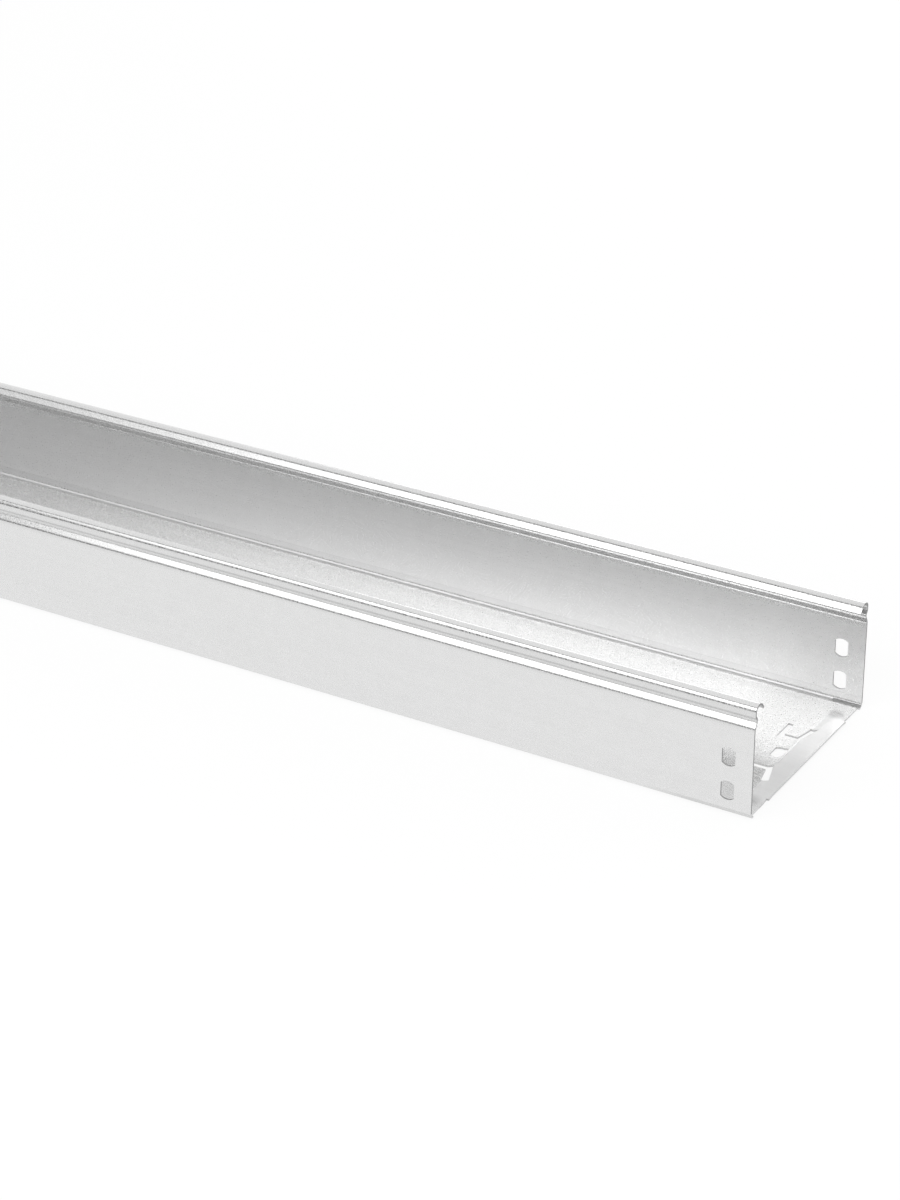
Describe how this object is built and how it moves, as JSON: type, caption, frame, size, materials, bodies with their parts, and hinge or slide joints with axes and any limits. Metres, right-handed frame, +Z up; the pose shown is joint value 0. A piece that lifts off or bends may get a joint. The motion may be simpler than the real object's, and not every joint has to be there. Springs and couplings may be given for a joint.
{
  "type": "solid cable tray",
  "caption": "Straight length of solid-floor galvanised cable tray with rolled rims, bolt slots in both walls and a latching connector end.",
  "frame": {"origin": "on the underside of the floor, at the middle of the tray's length and width", "axes": "+X along the tray towards the connector end, +Y across it, +Z up out of the open top"},
  "size_m": [3, 0.125, 0.06],
  "materials": {
    "galvanised_sheet": "galvanised, satin"
  },
  "bodies": {
    "root": {"tray": "galvanised_sheet"}
  },
  "joints": []
}
